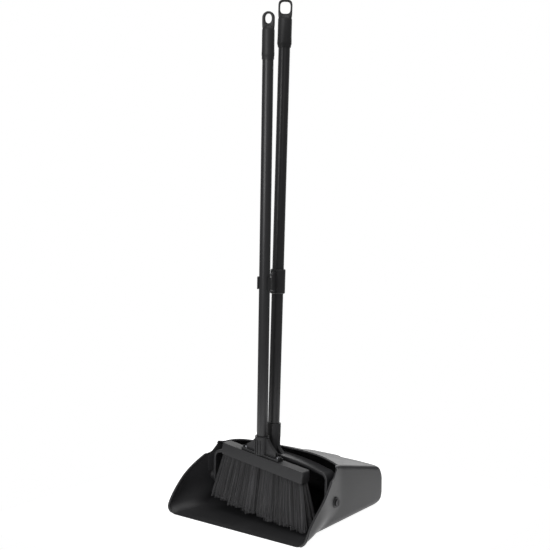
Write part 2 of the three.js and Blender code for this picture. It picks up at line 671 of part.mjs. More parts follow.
// Saddle cap: socket, two curved gussets and a plate that lies on the block.
function makeCap() {
  const plateFoot = blockTop + gap;
  const outline = new THREE.Shape();
  outline.moveTo(-capReach, plateFoot);
  outline.lineTo(capReach, plateFoot);
  outline.lineTo(capReach, plateFoot + 7);
  outline.quadraticCurveTo(capRadius + 9, plateFoot + 19, capRadius - 0.5, capTop - 2);
  outline.lineTo(-capRadius + 0.5, capTop - 2);
  outline.quadraticCurveTo(-capRadius - 9, plateFoot + 19, -capReach, plateFoot + 7);
  const web = prismY(outline, -3.5, 3.5, 10).applyMatrix4(headTurn);
  const plate = new THREE.BoxGeometry(2 * capReach, capDepth, 4);
  plate.translate(0, 0, plateFoot + 2);
  plate.applyMatrix4(headTurn);
  let cap = solid(web).add(solid(plate));
  cap = cap.add(solid(rod('z', capRadius, plateFoot + 2, capTop, 36)));
  // ribs down the front of the socket
  for (const x of [-6, 0, 6]) {
    const reach = Math.sqrt(capRadius ** 2 - x ** 2);
    cap = cap.add(solid(new THREE.BoxGeometry(1.8, 3, capTop - plateFoot - 10)
      .translate(x, -reach, (capTop + plateFoot) / 2 - 2)));
  }
  cap = cap.subtract(solid(rod('z', broomRadius + gap, broomTubeSeat - gap, capTop + 5, 36)));
  for (const side of [-1, 1]) {
    const hole = solid(rod('z', 2.3, plateFoot - 5, capTop, 14).translate(side * capScrewPlace, 0, 0)
      .applyMatrix4(headTurn));
    const seat = solid(rod('z', 4.6, plateFoot + 4, capTop + 20, 20).translate(side * capScrewPlace, 0, 0)
      .applyMatrix4(headTurn));
    cap = cap.subtract(hole).subtract(seat);
  }
  return cap;
}

// Height of the cut tips in the head's frame: the lower end's tips reach the broom's foot.
const bristleHalf = blockLength / 2 - bristleMargin;
const bristleTop = blockFoot - gap;
const wholeSlant = (headSlant + broomLean) * degrees;
const bristleEnd = blockShift + bristleHalf + (bristleSplay + bristleDrift) * bristleTop * 0.9;
const bristleTip = blockTop - (blockTop - bristleEnd * Math.sin(wholeSlant)) / Math.cos(wholeSlant);

// One row of bristles on one side of the middle, fanned out towards the tips.
function makeBristles(row, side) {
  const rowDepth = (blockDepth - 3) / bristleRows;
  const half = rowDepth * bristleRows / 2;
  const front = -half + row * rowDepth + gap;
  const back = front + rowDepth - 2 * gap;
  const lean = (y) => mix(-bristleForward, bristleBack, (y + half) / (2 * half));
  const steps = 6;
  const levels = 3;
  const rings = [];
  for (let i = 0; i <= levels; i += 1) {
    const place = (x, y) => {
      const bow = bristleBow * (1 - (x / bristleHalf) ** 2);
      const fall = (bristleTop - bristleTip + bow) * i / levels;
      const splay = mix(bristleSplay, rearSplay, (y + half) / (2 * half));
      const across = side * (x + splay * fall * x / bristleHalf) + bristleDrift * fall + blockShift;
      return new THREE.Vector3(across, y + lean(y) * fall, bristleTop - fall);
    };
    const points = [];
    const first = tuftSplit / 2 + side * splitPlace;
    for (let j = 0; j <= steps; j += 1) points.push(place(mix(first, bristleHalf, j / steps), front));
    for (let j = steps; j >= 0; j -= 1) points.push(place(mix(first, bristleHalf, j / steps), back));
    rings.push(side > 0 ? points : points.reverse());
  }
  return loft(rings);
}

function makeBroom() {
  const group = new THREE.Group();
  group.applyMatrix4(broomTilt);
  const spun = new THREE.Group();
  spun.rotation.z = broomYaw * degrees;
  group.add(spun);
  const head = new THREE.Group();
  head.applyMatrix4(headTurn);
  spun.add(head);

  const block = makeBlock();
  const pilots = [-1, 1].map((side) => solid(rod('z', 2.1, blockTop - 14, blockTop + 3, 14)
    .translate(side * capScrewPlace, 0, 0)));
  head.add(named('broom_block', geometryOf(block.subtract(pilots[0]).subtract(pilots[1])), finishes.blockPlastic));
  for (let row = 0; row < bristleRows; row += 1) {
    const rowName = ['front', 'middle', 'rear'][row];
    head.add(named(`bristles_${rowName}_left`, makeBristles(row, -1), finishes.bristle));
    head.add(named(`bristles_${rowName}_right`, makeBristles(row, 1), finishes.bristle));
  }
  for (const side of [-1, 1]) {
    const fixing = geometryOf(screw(blockTop - 12, blockTop + gap + 4 + gap, 1.8, 3.6, 2));
    fixing.rotateX(Math.PI / 2);
    fixing.translate(side * capScrewPlace, 0, 0);
    head.add(named(`cap_screw_${side > 0 ? 'right' : 'left'}`, fixing, finishes.fastener));
  }
  spun.add(named('broom_cap', geometryOf(makeCap()), finishes.blockPlastic));

  const tube = makeTube(broomRadius, broomTubeWall, broomTubeSeat, broomTubeTop);
  const tip = turned([[0, broomTubeSeat + 1], [tipRadius - 2, broomTubeSeat + 1], [tipRadius, broomTubeSeat + 4],
    [tipRadius, broomTubeSeat + 42], [tipRadius - 1.5, broomTubeSeat + 44], [0, broomTubeSeat + 44]], 28);
  spun.add(named('broom_tube', geometryOf(solid(tube)), finishes.coatedTube));
  spun.add(named('broom_tube_insert', geometryOf(solid(tip)), finishes.blockPlastic));
  spun.add(named('broom_grip', makeGrip(broomGrip, broomRadius, broomTubeTop), finishes.gripPlastic));
  return group;
}

// ---------- assembly ----------
const set = new THREE.Group();
const pan = new THREE.Group();
pan.position.y = -panDepth / 2;
set.add(pan);
pan.add(named('pan_body', geometryOf(makePanBody()), finishes.panPlastic));
pan.add(named('hood', geometryOf(makeHood()), finishes.hoodPlastic));
pan.add(makePivot(-1), makePivot(1), makeHandleGroup(), makeBroom());

export default set;
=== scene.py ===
import json
import math

import bmesh
import bpy
import numpy as np
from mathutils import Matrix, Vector


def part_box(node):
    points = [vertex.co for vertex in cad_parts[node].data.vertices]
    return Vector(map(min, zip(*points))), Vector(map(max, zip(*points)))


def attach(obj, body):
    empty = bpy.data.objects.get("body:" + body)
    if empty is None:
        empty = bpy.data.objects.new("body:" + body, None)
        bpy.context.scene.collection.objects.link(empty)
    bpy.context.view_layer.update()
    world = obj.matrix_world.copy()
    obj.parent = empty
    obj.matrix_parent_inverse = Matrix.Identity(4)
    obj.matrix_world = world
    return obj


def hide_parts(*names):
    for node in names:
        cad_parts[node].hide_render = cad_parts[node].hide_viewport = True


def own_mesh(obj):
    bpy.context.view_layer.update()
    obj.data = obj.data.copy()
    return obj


# Upright dust pan with a long handle, and a broom clipped to it. Lengths are in
# millimetres in the pan's own frame, whose Y starts at the lip, and become metres in the mesh.
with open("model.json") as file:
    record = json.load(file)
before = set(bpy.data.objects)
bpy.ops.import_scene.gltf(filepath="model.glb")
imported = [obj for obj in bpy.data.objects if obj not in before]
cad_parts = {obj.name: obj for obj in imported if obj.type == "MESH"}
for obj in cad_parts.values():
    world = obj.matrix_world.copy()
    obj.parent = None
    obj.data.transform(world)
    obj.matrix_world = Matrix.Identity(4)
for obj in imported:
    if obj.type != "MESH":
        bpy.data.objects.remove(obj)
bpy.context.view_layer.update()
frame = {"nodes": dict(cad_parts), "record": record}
print("frame loaded")

bodyLow, bodyHigh = (np.array(corner) * 1000 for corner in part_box("pan_body"))
panDepth = bodyHigh[1] - bodyLow[1]
rowShift = np.array([0, bodyLow[1], 0])


# Quads between neighbours of an n by m grid, closed round either way if asked.
def gridFaces(n, m, roundN=False, roundM=False):
    i, j = np.meshgrid(np.arange(n if roundN else n - 1), np.arange(m if roundM else m - 1),
                       indexing="ij")
    k, l = (i + 1) % n, (j + 1) % m
    return np.stack([i * m + j, k * m + j, k * m + l, i * m + l], -1).reshape(-1, 4)


# One part of a piece: its points, its faces, and one number per point for shading.
def gridPart(points, roundN=False, roundM=False, capN=False):
    n, m, _ = points.shape
    faces = gridFaces(n, m, roundN, roundM).tolist()
    if capN:
        faces.append(list(range(m))[::-1])
        faces.append([(n - 1) * m + j for j in range(m)])
    flat = points.reshape(-1, 3)
    return flat, faces, np.zeros(len(flat))


# Places of a mesh's points, in pan millimetres.
def pointsOf(mesh):
    flat = np.empty(len(mesh.vertices) * 3, np.float32)
    mesh.vertices.foreach_get("co", flat)
    return flat.reshape(-1, 3).astype(float) * 1000 - rowShift


# A mesh object from parts in pan millimetres. Doubles are merged and the normals face out.
def makePiece(name, parts, material, body, nodes, smoothAngle=35, tidy=True):
    offsets = np.cumsum([0] + [len(p[0]) for p in parts])
    points = np.concatenate([p[0] for p in parts])
    faces = [[v + int(o) for v in f] for p, o in zip(parts, offsets) for f in p[1]]
    mesh = bpy.data.meshes.new(name)
    mesh.from_pydata((points + rowShift) * 0.001, [], faces)
    shade = mesh.attributes.new("shade", "FLOAT", "POINT")
    shade.data.foreach_set("value", np.concatenate([p[2] for p in parts]).astype(np.float32))
    if tidy:
        work = bmesh.new()
        work.from_mesh(mesh)
        bmesh.ops.remove_doubles(work, verts=work.verts, dist=2e-6)
        bmesh.ops.dissolve_degenerate(work, edges=work.edges, dist=1e-6)
        bmesh.ops.recalc_face_normals(work, faces=work.faces)
        work.to_mesh(mesh)
        work.free()
    mesh.polygons.foreach_set("use_smooth", np.ones(len(mesh.polygons), bool))
    mesh.set_sharp_from_angle(angle=math.radians(smoothAngle))
    piece = bpy.data.objects.new(name, mesh)
    bpy.context.scene.collection.objects.link(piece)
    mesh.materials.append(material)
    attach(piece, body)
    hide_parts(*nodes)
    return piece


def addModifier(piece, kind, **settings):
    modifier = piece.modifiers.new(kind.title(), kind)
    for key, value in settings.items():
        setattr(modifier, key, value)
    return modifier


def addBevel(piece, width, segments=2, angle=38):
    addModifier(piece, "BEVEL", width=width * 0.001, segments=segments, limit_method="ANGLE",
                angle_limit=math.radians(angle), harden_normals=True, miter_outer="MITER_ARC")


def addWall(piece, thickness, **settings):
    addModifier(piece, "SOLIDIFY", thickness=thickness * 0.001, offset=-1, use_even_offset=True,
                use_quality_normals=True, **settings)


# 0 at low, 1 at high, with level ends.
def ease(value, low=0.0, high=1.0):
    t = np.clip((np.asarray(value, float) - low) / (high - low), 0, 1)
    return t * t * (3 - 2 * t)


def mix(a, b, t):
    return a + (b - a) * t


# Body of revolution about Z: radius and height pairs go once round. A profile that starts
# and ends on the axis closes by itself, and one that returns to its start makes a ring.
def lathe(profile, steps=48):
    radius, height = np.array(profile, float).T
    angle = np.linspace(0, 2 * np.pi, steps, endpoint=False)[:, None]
    return np.stack([radius * np.cos(angle), radius * np.sin(angle), height + 0 * angle], -1)


# Corner points of a profile with each corner replaced by a small arc of three points.
def softened(profile, radius):
    points = np.array(profile, float)
    before, after = np.roll(points, 1, 0) - points, np.roll(points, -1, 0) - points
    reach = np.minimum(radius, 0.45 * np.minimum(np.linalg.norm(before, axis=1),
                                                 np.linalg.norm(after, axis=1)))[:, None]
    unitBefore = before / np.maximum(np.linalg.norm(before, axis=1, keepdims=True), 1e-9)
    unitAfter = after / np.maximum(np.linalg.norm(after, axis=1, keepdims=True), 1e-9)
    first, last = points + unitBefore * reach, points + unitAfter * reach
    middle = 0.25 * first + 0.5 * points + 0.25 * last
    return np.stack([first, middle, last], 1).reshape(-1, 2)


# A closed section carried along a path: each point is the path's place, plus the section's
# first number along one direction, plus its second along the other.
def sweep(path, alongA, alongB, section):
    return path[:, None] + section[..., 0:1] * alongA[:, None] + section[..., 1:2] * alongB[:, None]


# Rectangle with round corners: a superellipse of half sizes a and b, of the given power.
def roundSection(a, b, power=5, steps=28):
    t = np.linspace(0, 2 * np.pi, steps, endpoint=False)
    c, s = np.cos(t), np.sin(t)
    return np.stack([np.multiply.outer(a, np.sign(c) * np.abs(c) ** (2 / power)),
                     np.multiply.outer(b, np.sign(s) * np.abs(s) ** (2 / power))], -1)


# A float socket that adds its own Math nodes in an ordinary expression.
class Mask:
    def __init__(self, finish, socket):
        self.finish, self.socket = finish, socket

    def math(self, operation, a, b):
        return self.finish.node("ShaderNodeMath", {"operation": operation}, {0: a, 1: b})

    def __add__(self, other):
        return self.math("ADD", self, other)

    def __mul__(self, other):
        return self.math("MULTIPLY", self, other)

    __radd__ = __add__
    __rmul__ = __mul__


class Finish:
    def __init__(self, name):
        self.material = bpy.data.materials.new(name)
        self.material.use_nodes = True
        self.tree = self.material.node_tree
        self.shader = self.tree.nodes["Principled BSDF"]
        self.place = self.node("ShaderNodeTexCoord", output="Object")

    def feed(self, socket, value):
        if isinstance(value, Mask):
            self.tree.links.new(value.socket, socket)
        else:
            socket.default_value = value

    # A node of a type, its settings first, then the values or links of its sockets.
    def node(self, kind, settings=None, sockets=None, output=0):
        made = self.tree.nodes.new(kind)
        for key, value in (settings or {}).items():
            if key == "stops":
                for element, (spot, shade) in zip(made.color_ramp.elements, value):
                    element.position, element.color = spot, (shade, shade, shade, 1)
            else:
                setattr(made, key, value)
        for key, value in (sockets or {}).items():
            self.feed(made.inputs[key], value)
        return Mask(self, made.outputs[output])

    def noise(self, scale, detail=3, rough=0.55, vector=None):
        return self.node("ShaderNodeTexNoise", {}, {
            "Vector": vector or self.place, "Scale": scale, "Detail": detail, "Roughness": rough})

    def ramp(self, value, low, high):
        return self.node("ShaderNodeValToRGB", {"stops": [(low, 0), (high, 1)]}, {0: value})

    def blend(self, mask, first, second):
        return self.node("ShaderNodeMix", {"data_type": "RGBA"}, {0: mask, 6: first, 7: second}, 2)

    def stretched(self, scale):
        return self.node("ShaderNodeMapping", {}, {"Vector": self.place, "Scale": scale})

    def bump(self, height, strength, distance):
        normal = self.node("ShaderNodeBump", {}, {
            "Height": height, "Strength": strength, "Distance": distance})
        self.feed(self.shader.inputs["Normal"], normal)

    def done(self, **sockets):
        for key, value in sockets.items():
            self.feed(self.shader.inputs[key.replace("_", " ")], value)
        return self.material


# A grey of some level, a little blue unless it is made warm.
def grey(level, warm=0.0):
    return (level * (1 + warm), level, level * (1 + 0.06 - warm), 1)


plasticLooks = {
    "pan": {"deep": 0.020, "pale": 0.032, "roughness": 0.42, "grain": 0.5, "cloud": 16},
    "hood": {"deep": 0.030, "pale": 0.048, "roughness": 0.36, "grain": 0.5, "cloud": 18},
    "yoke": {"deep": 0.026, "pale": 0.040, "roughness": 0.36, "grain": 0.4, "cloud": 30},
    "grip": {"deep": 0.020, "pale": 0.030, "roughness": 0.50, "grain": 0.8, "cloud": 50},
    "clip": {"deep": 0.022, "pale": 0.034, "roughness": 0.38, "grain": 0.5, "cloud": 50},
    "block": {"deep": 0.018, "pale": 0.030, "roughness": 0.48, "grain": 0.8, "cloud": 35},
}


# Moulded plastic: fine spark grain, a slow drift of tone and gloss, and a few rubbed streaks.
def mouldedPlastic(name, look):
    f = Finish(name)
    grain = f.noise(2600, 2)
    pores = f.noise(700, 3)
    cloud = f.noise(look["cloud"], 4)
    rubbed = f.ramp(f.noise(26, 6, 0.7, f.stretched((1, 1, 9))), 0.56, 0.74)
    tone = cloud * 0.7 + pores * 0.3
    base = f.blend(tone, grey(look["deep"]), grey(look["pale"]))
    colour = f.blend(rubbed * 0.18, base, grey(look["pale"] * 1.7))
    roughness = look["roughness"] - 0.06 + cloud * 0.12 + rubbed * 0.07 + pores * 0.03
    f.bump(grain * 0.5 + pores * 0.5, 0.25 * look["grain"], 0.0002)
    return f.done(Base_Color=colour, Roughness=roughness, IOR=1.49)


tubeLook = {"deep": 0.022, "pale": 0.032, "roughness": 0.31}


# Powder coat on tube: orange peel, faint lengthwise drawing marks, small scuffs.
def coatedTube(name, look):
    f = Finish(name)
    peel = f.noise(900, 2)
    drawn = f.noise(300, 3, 0.5, f.stretched((1, 1, 0.03)))
    cloud = f.noise(9, 3)
    scuff = f.ramp(f.noise(60, 8, 0.75, f.stretched((1, 1, 0.35))), 0.62, 0.72)
    colour = f.blend(cloud * 0.6 + drawn * 0.4, grey(look["deep"]), grey(look["pale"]))
    colour = f.blend(scuff * 0.22, colour, grey(0.11))
    roughness = look["roughness"] + drawn * 0.08 + scuff * 0.12
    f.bump(peel * 0.7 + drawn * 0.3, 0.18, 0.00015)
    return f.done(Base_Color=colour, Roughness=roughness, IOR=1.5)


# Zinc plate: bright blue-grey crystals with dull handling marks.
def zincPlate(name):
    f = Finish(name)
    crystals = f.noise(600, 4)
    marks = f.ramp(f.noise(150, 5, 0.7), 0.5, 0.7)
    colour = f.blend(marks, (0.56, 0.57, 0.60, 1), (0.36, 0.36, 0.37, 1))
    f.bump(crystals, 0.15, 0.0001)
    return f.done(Base_Color=colour, Roughness=0.26 + crystals * 0.12 + marks * 0.15, Metallic=1.0)


bristleLook = {"deep": 0.006, "pale": 0.110, "roughness": 0.55}


# Drawn filaments: each strand has its own tone, a dull lengthwise streak, painted shade towards the
# roots and paler split ends.
def filament(name, look):
    f = Finish(name)
    own = f.node("ShaderNodeAttribute", {"attribute_name": "shade"}, output="Fac")
    streak = f.noise(900, 3, 0.6, f.stretched((1, 1, 0.06)))
    colour = f.blend(own * 0.8 + streak * 0.2, grey(look["deep"], 0.01), grey(look["pale"], 0.01))
    f.bump(streak, 0.3, 0.0002)
    return f.done(Base_Color=colour, Roughness=look["roughness"] + streak * 0.12, IOR=1.5)


finishes = {
    **{f"{part}_plastic": mouldedPlastic(f"{part}Plastic", look)
       for part, look in plasticLooks.items()},
    "coated_tube": coatedTube("tubeCoat", tubeLook),
    "fastener": zincPlate("zincPlate"),
    "bristle": filament("filament", bristleLook),
}
slotOf = {part["node"]: part["material_slot"] for part in frame["record"]["subparts"]}
for node, piece in frame["nodes"].items():
    piece.data.materials.clear()
    piece.data.materials.append(finishes[slotOf[node]])
print("finishes made")

pan = {
    "width": 283, "flare": 22, "flareLength": 110, "flareHigh": 153, "flareLow": 67,
    "flareRise": 46, "wall": 2.6, "floorRadius": 14, "shoulder": 8, "cornerPlan": 13,
    "rearRound": 26, "topFront": 115, "topRear": 74, "hoodFront": 142, "cheek": 129,
    "stepDepth": 103, "stepHeight": 96, "edgePower": 0.59, "lipShare": 0.38, "lipRamp": 14,
    "bead": 2.4, "crownFront": 14, "crownRear": 1, "hoodWall": 2.8, "seamGap": 0.5,
    "armSteps": 64, "cornerSteps": 10, "rearSteps": 26,
}


# Outside half width: straight behind the flare, eased out towards the lip. The flare starts
# further back the higher up it is, by a quarter sine of the height.
def halfWidth(depth, height):
    rise = np.sin(np.clip(np.asarray(height) / pan["flareRise"], 0, 1) * np.pi / 2)
    start = mix(pan["flareLow"], pan["flareHigh"], rise)
    return pan["width"] / 2 + pan["flare"] * ease((start - depth) / pan["flareLength"])


def shoulderHeight(depth):
    back = (np.asarray(depth) - pan["hoodFront"]) / (panDepth - pan["hoodFront"])
    return mix(pan["topFront"], pan["topRear"], back)


def seamHeight(depth):
    return shoulderHeight(depth) - pan["shoulder"]


def crownHeight(depth):
    back = (np.asarray(depth) - pan["hoodFront"]) / (panDepth - pan["hoodFront"])
    return mix(pan["crownFront"], pan["crownRear"], np.clip(back, 0, 1))


# How far a round of some radius has turned in, past its start.
def turnedIn(past, radius):
    return radius - np.sqrt(radius ** 2 - np.clip(past, 0, radius) ** 2)


# Depth of the wall's front edge at a height: the power curve of the lip, and the step above.
def edgeDepth(height):
    return pan["stepDepth"] * (np.asarray(height) / pan["stepHeight"]) ** (1 / pan["edgePower"])


edgeLine = np.array([[edgeDepth(h), h] for h in np.linspace(0, pan["stepHeight"], 40)]
                    + [[pan["stepDepth"] + 6, pan["stepHeight"] + 0.4],
                       [pan["stepDepth"] + 13, pan["stepHeight"] + 2],
                       [pan["cheek"], seamHeight(pan["cheek"])]])


# One U-shaped line of the shell seen from above: back along the left side, round the rear
# corner, across the rear, and forward along the right. side(depth) is its half width.
def uLine(front, rear, corner, side):
    back = rear - corner
    arm = front + (back - front) * np.linspace(0, 1, pan["armSteps"])
    turn = np.linspace(0, np.pi / 2, pan["cornerSteps"] + 2)[1:-1]
    wide = side(back)
    across = np.linspace(wide - corner, 0, pan["rearSteps"] // 2 + 1)
    x = np.concatenate([side(arm), wide - corner * (1 - np.cos(turn)), across])
    depth = np.concatenate([arm, back + corner * np.sin(turn), np.full(len(across), rear)])
    right = np.stack([x, depth], -1)
    left = right[:-1][::-1] * [-1, 1]
    return np.concatenate([right, left])


# The body's outside: floor lines that spread from the middle, the floor's round corner, and
# wall lines up to the hood's seam. The front end of each line follows the wall's front edge.
def bodySurface():
    lines = []
    floorRear = panDepth - pan["rearRound"]
    for share in np.linspace(0, 1, 18)[:-1] ** 0.8:
        flat = uLine(0, mix(floorRear - 110, floorRear, share), max(pan["cornerPlan"] * share, 0.01),
                     lambda d: share * (halfWidth(d, 0) - pan["floorRadius"]))
        lines.append(np.column_stack([flat, np.zeros(len(flat))]))
    for angle in np.linspace(0, np.pi / 2, 10)[:-1]:
        height = pan["floorRadius"] * (1 - np.cos(angle))
        inset = pan["floorRadius"] * (1 - np.sin(angle))
        rear = panDepth - turnedIn(pan["rearRound"] - height, pan["rearRound"])
        flat = uLine(float(edgeDepth(height)), rear, pan["cornerPlan"],
                     lambda d: halfWidth(d, height) - inset)
        lines.append(np.column_stack([flat, np.full(len(flat), height)]))
    edgeTop = seamHeight(edgeLine[:, 0])
    edgeShare = (edgeLine[:, 1] - pan["floorRadius"]) / (edgeTop - pan["floorRadius"])
    for share in np.linspace(0, 1, 34):
        front = float(np.interp(share, edgeShare, edgeLine[:, 0]))
        heightAt = lambda d, share=share: mix(pan["floorRadius"], seamHeight(d), share)
        rear = panDepth
        for _ in range(6):
            h = float(heightAt(rear))
            low = turnedIn(pan["rearRound"] - h, pan["rearRound"])
            top = turnedIn(h - (float(shoulderHeight(rear)) - pan["rearRound"]), pan["rearRound"])
            rear = panDepth - low - top
        flat = uLine(front, rear, pan["cornerPlan"], lambda d: halfWidth(d, heightAt(d)))
        lines.append(np.column_stack([flat, heightAt(flat[:, 1])]))
    return np.array(lines)


# Rolled bead: a round section carried up the front edge of one wall, from the lip's corner.
def edgeBead(side):
    height = np.concatenate([np.linspace(2.2, pan["floorRadius"], 10),
                             np.linspace(pan["floorRadius"], pan["stepHeight"], 50)[1:]])
    depth = edgeDepth(height)
    inset = turnedIn(pan["floorRadius"] - height, pan["floorRadius"]) + pan["wall"] / 2
    path = np.stack([side * (halfWidth(depth, height) - inset), depth + 0.6, height], -1)
    along = np.gradient(path, axis=0)
    along /= np.linalg.norm(along, axis=1, keepdims=True)
    out = np.array([side, 0, 0]) - along * (along[:, :1] * side)
    out /= np.linalg.norm(out, axis=1, keepdims=True)
    lift = np.cross(along, out)
    ends = np.sqrt(np.clip(1 - np.abs(np.linspace(-1, 1, len(path))) ** 40, 0.02, 1))
    section = roundSection(pan["bead"] * ends, pan["bead"] * ends, 2, 14)
    return sweep(path, out, lift, section)


boss = {"radius": 10.5, "stand": 3.4, "depth": 121, "height": 50, "bore": 4.45, "round": 0.9,
        "inner": 137.6}


# Outer boss of one pivot: a short ring with a softened rim, turned to lie along X.
def pivotBoss(side):
    face = float(halfWidth(boss["depth"], boss["height"])) + boss["stand"]
    profile = softened([[boss["bore"], boss["inner"]], [boss["radius"], boss["inner"]],
                        [boss["radius"], face], [boss["bore"], face]], boss["round"])
    ring = lathe(np.vstack([profile, profile[:1]]), 40)
    depth, height = ring[..., 0] + boss["depth"], ring[..., 1] + boss["height"]
    return np.stack([side * ring[..., 2], depth, height], -1)


panPiece = makePiece("panShell", [gridPart(bodySurface())], finishes["pan_plastic"], "pan",
                     ["pan_body"], 60)
ramp = panPiece.vertex_groups.new(name="wall")
shellPoints = pointsOf(panPiece.data)
rampWeight = np.maximum(ease(shellPoints[:, 1], 0, pan["lipRamp"]), ease(shellPoints[:, 2], 2, 12))
for weight in np.unique(rampWeight):
    ramp.add(np.flatnonzero(rampWeight == weight).tolist(), float(weight), "REPLACE")
addWall(panPiece, pan["wall"], vertex_group="wall", thickness_vertex_group=pan["lipShare"])
addBevel(panPiece, 0.5)
makePiece("panBeads", [gridPart(edgeBead(side), roundM=True, capN=True) for side in (-1, 1)]
          + [gridPart(pivotBoss(side), roundN=True) for side in (-1, 1)],
          finishes["pan_plastic"], "pan", [], 45)
print("pan shell made")

ledge = {"flat": 33, "foot": 55, "rise": 4.8, "reach": 0.4, "start": 18}


# The hood's outside, in the same U-shaped lines: up the shoulder's round from the seam, then
# over the crown, whose height falls with the fourth power of the place across. At the rear
# the lines follow the big round, and a ledge carries the top on over it in the middle.
def hoodSurface():
    lines = []
    big, small = pan["rearRound"], pan["shoulder"]
    start = panDepth - big
    seamTurn = math.acos(1 - small / big)
    for share in np.linspace(0, 1, 15):
        side = share * np.pi / 2
        turn = seamTurn * (1 - share)
        front = pan["cheek"] if share < 0.7 else pan["hoodFront"]
        rear = start + big * math.sin(turn)
        corner = mix(pan["cornerPlan"], 6, share)
        flat = uLine(front, rear, corner,
                     lambda d: halfWidth(d, seamHeight(d)) - small * (1 - math.cos(side)))
        backness = ease(flat[:, 1], rear - corner, rear)
        rise = mix(small * math.sin(side), small - big * (1 - math.cos(turn)), backness)
        wide = halfWidth(flat[:, 1], pan["flareRise"]) - small
        crown = crownHeight(flat[:, 1]) * np.clip(1 - np.abs(flat[:, 0] / wide) ** 4, 0, 1) * share
        line = np.column_stack([flat, seamHeight(flat[:, 1]) + pan["seamGap"] + rise + crown])
        lines.append(ledged(line, share, rear))
    for share in np.linspace(1, 0, 18)[1:]:
        rear = mix(start - 60, start, share)
        flat = uLine(pan["hoodFront"], rear, max(6 * share, 0.01),
                     lambda d: share * (halfWidth(d, pan["flareRise"]) - small))
        wide = halfWidth(flat[:, 1], pan["flareRise"]) - small
        crown = crownHeight(flat[:, 1]) * (1 - np.abs(flat[:, 0] / wide) ** 4)
        lines.append(np.column_stack([flat, shoulderHeight(flat[:, 1]) + pan["seamGap"] + crown]))
    return np.array(lines)


# Moves the rear of one line towards the ledge's own profile, by how far inside its ends it is.
def ledged(line, share, rear):
    top = pan["topRear"] + ledge["rise"]
    end = panDepth - ledge["reach"]
    seam = float(seamHeight(panDepth)) + pan["seamGap"]
    knots = [0, 0.14, 0.22, 0.50, 0.58, 0.66, 0.88, 1]
    depths = [rear, end - 1, end, end, end - 0.8, end - 3, end - ledge["start"], rear]
    heights = [seam + 1.2, seam + 0.4, seam + 1.4, top - 3, top - 0.8, top, top + 0.2, 0]
    depth, height = np.interp(share, knots, depths), np.interp(share, knots, heights)
    inside = 1 - ease(np.abs(line[:, 0]), ledge["flat"], ledge["foot"])
    weight = inside * (line[:, 1] > rear - 0.5) * (share < 0.999)
    line[:, 1] = mix(line[:, 1], depth, weight)
    line[:, 2] = mix(line[:, 2], height, weight)
    return line


skirt = {"front": 105, "rear": 266, "drop": 56, "clear": 2.9, "wall": 2.2, "tuck": 1.5,
         "slopeDepths": [105, 106, 117, 130.5], "slopeHeights": [90, 92, 96]}


# Skirt inside one side wall: depth one way and height the other, from its sloping foot up to
# the hood, nested inside the wall by its thickness and a small clearance.
def skirtSurface(side):
    depth = np.linspace(skirt["front"], skirt["rear"], 60)[:, None]
    back = (depth - skirt["front"]) / (skirt["rear"] - skirt["front"])
    foot = seamHeight(depth) - mix(skirt["drop"], skirt["drop"] / 2, back)
    slopeTop = seamHeight(skirt["slopeDepths"][-1]) + skirt["tuck"]
    slope = np.interp(depth, skirt["slopeDepths"], skirt["slopeHeights"] + [slopeTop])
    top = np.minimum(seamHeight(depth) + skirt["tuck"], slope)
    height = mix(foot, top, np.linspace(0, 1, 12)[None])
    across = side * (halfWidth(depth, height) - skirt["clear"])
    points = np.stack([across, depth + 0 * height, height], -1)
    return points if side < 0 else points[:, ::-1]


hoodPiece = makePiece("hoodShell", [gridPart(hoodSurface())], finishes["hood_plastic"], "pan",
                      ["hood"], 60)
addWall(hoodPiece, pan["hoodWall"])
addBevel(hoodPiece, 0.6)
for side in (-1, 1):
    skirtPiece = makePiece("hoodSkirtRight" if side > 0 else "hoodSkirtLeft",
                           [gridPart(skirtSurface(side))], finishes["hood_plastic"], "pan",
                           [], 60, tidy=False)
    addWall(skirtPiece, skirt["wall"])
    addBevel(skirtPiece, 0.4)
print("hood made")


# A tilted frame from a tube's own two end rings: its foot, and unit vectors across, back and up.
class TubeFrame:
    def __init__(self, node, turn=0.0):
        points = pointsOf(frame["nodes"][node].data)
        order = points[:, 2]
        low = points[order < order.min() + 1.2]
        high = points[order > order.max() - 1.2]
        ends = [(part.min(0) + part.max(0)) / 2 for part in (low, high)]
        self.up = (ends[1] - ends[0]) / np.linalg.norm(ends[1] - ends[0])
        self.foot = ends[0]
        spin = np.array([math.cos(turn), math.sin(turn), 0])
        self.right = spin - self.up * (spin @ self.up)
        self.right /= np.linalg.norm(self.right)
        self.back = np.cross(self.up, self.right)
        self.length = np.linalg.norm(ends[1] - ends[0])

    # Local millimetres, with height counted from the tube's foot, into the pan's frame.
    def out(self, points):
        return (self.foot + points[..., 0:1] * self.right + points[..., 1:2] * self.back
                + points[..., 2:3] * self.up)


panHandle = TubeFrame("handle_tube")
broomHandle = TubeFrame("broom_tube", math.radians(-5))
print("tube lengths", round(panHandle.length, 1), round(broomHandle.length, 1))

yoke = {
    "half": 136, "thick": 6, "wide": 30, "armEnd": 15, "shoulder": 56, "arch": 16, "corner": 16,
    "seat": 74, "offset": 0.9, "socketTop": 127, "socketRadius": 13.7, "bore": 11.3,
    "gussetReach": 21, "gussetHeight": 27, "gussetThick": 10,
    "gussetPower": 2.2,
}


